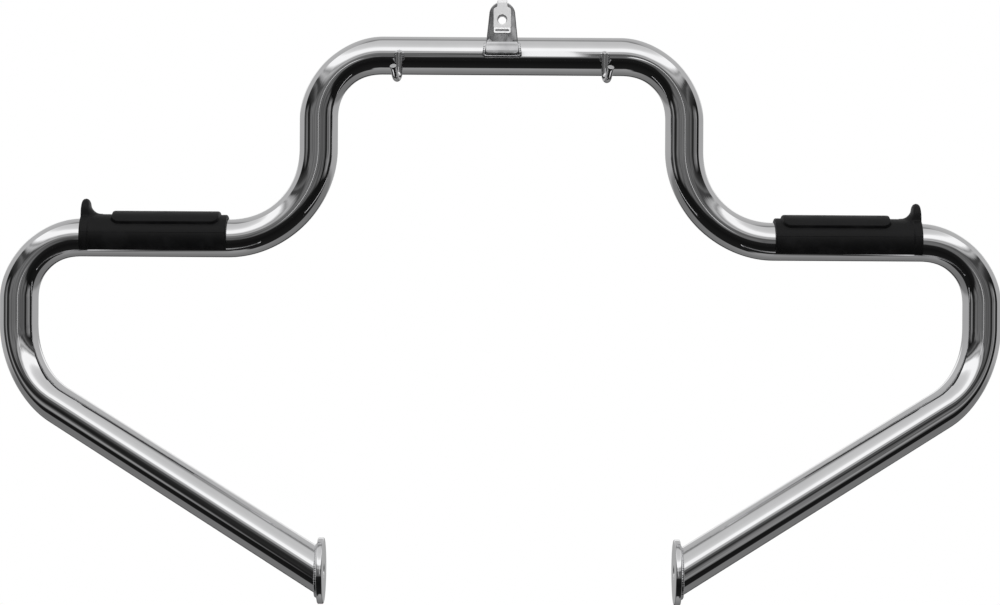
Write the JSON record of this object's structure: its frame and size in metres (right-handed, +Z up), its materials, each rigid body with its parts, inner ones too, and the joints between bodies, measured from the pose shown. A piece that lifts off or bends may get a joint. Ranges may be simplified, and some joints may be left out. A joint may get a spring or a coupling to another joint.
{
  "type": "motorcycle crash bars",
  "caption": "One-piece bent tube crash bars with foot shelves, rubber foot pads, a centre bolt tab, two hooks and two flat end plates.",
  "frame": {"origin": "centre of the clip nut's tapped hole, in the plane of the centre tab's rear face", "axes": "+X to the rider's right, +Z up, -Y towards the engine, the side that the legs sweep to"},
  "size_m": [0.8348, 0.1917, 0.4836],
  "materials": {
    "chrome": "polished",
    "weld": "satin",
    "spring_steel": "satin",
    "rubber": "matte",
    "plain_steel": "satin"
  },
  "bodies": {
    "root": {"main_tube": "chrome", "center_tab": "chrome", "center_tab_weld": "weld", "tab_clip_nut": "spring_steel", "left_end_plate": "chrome", "right_end_plate": "chrome", "left_end_nut": "plain_steel", "right_end_nut": "plain_steel", "left_end_weld": "weld", "right_end_weld": "weld", "left_hook": "chrome", "right_hook": "chrome", "left_hook_weld": "weld", "right_hook_weld": "weld", "left_foot_pad": "rubber", "right_foot_pad": "rubber", "left_pad_strip": "plain_steel", "right_pad_strip": "plain_steel", "left_pad_screws": "plain_steel", "right_pad_screws": "plain_steel"}
  },
  "joints": []
}
